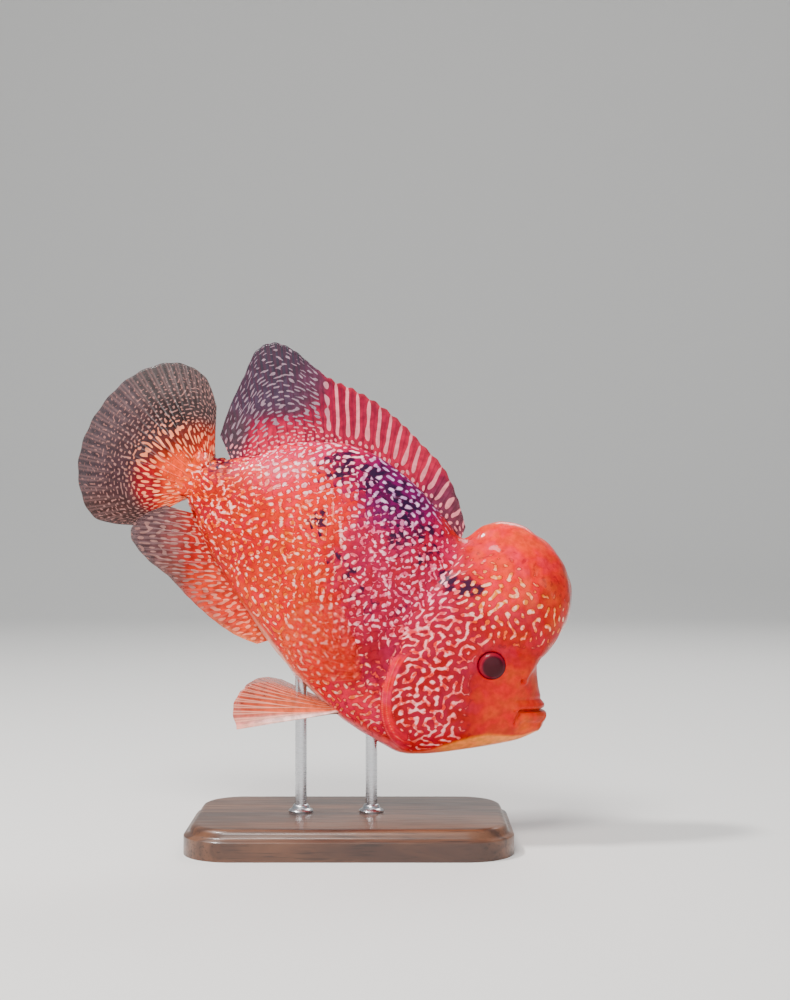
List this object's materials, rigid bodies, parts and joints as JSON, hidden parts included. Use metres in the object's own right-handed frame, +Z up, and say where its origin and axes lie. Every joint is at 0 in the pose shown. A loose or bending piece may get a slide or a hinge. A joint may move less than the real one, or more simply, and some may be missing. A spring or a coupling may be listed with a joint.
{
  "type": "flowerhorn cichlid",
  "caption": "Life-size still model of a flowerhorn cichlid: deep red fish with a tall forehead hump, spread fins and pearly marks, set head-down on a plain rod stand.",
  "frame": {"origin": "centre of the stand base's underside, on the surface that the model stands on", "axes": "+Z up, +X towards the side that the fish's head points to, +Y to the fish's left; the fish is pitched head down by 34.8 degrees and its tail turns to its left"},
  "size_m": [0.2073, 0.084, 0.2066],
  "materials": {
    "head_skin": "wet skin, red with cream worm-like lines",
    "hump_skin": "wet, glossy, smooth orange-red skin",
    "flank_skin": "wet scaled skin, red and orange with pearl spots",
    "eye": "clear and glossy over a dark red eye",
    "fin_skin": "thin wet membrane over rays, purple and red with pale dashes",
    "clear_fin_skin": "thin, half-clear pink membrane over rays",
    "stand_wood": "dark, satin, varnished",
    "stand_steel": "satin"
  },
  "bodies": {
    "root": {"anal_fin": "fin_skin", "dorsal_fin_soft": "fin_skin", "dorsal_fin_spiny": "fin_skin", "eye_left": "eye", "eye_right": "eye", "gill_cover_left": "head_skin", "gill_cover_right": "head_skin", "head": "head_skin", "lower_jaw": "head_skin", "nuchal_hump": "hump_skin", "pectoral_fin_left": "clear_fin_skin", "pectoral_fin_right": "clear_fin_skin", "pelvic_fin_left": "clear_fin_skin", "pelvic_fin_right": "clear_fin_skin", "stand_base": "stand_wood", "stand_rod_front": "stand_steel", "stand_rod_rear": "stand_steel", "tail_fin": "fin_skin", "tail_stalk": "flank_skin", "trunk": "flank_skin"}
  },
  "joints": []
}
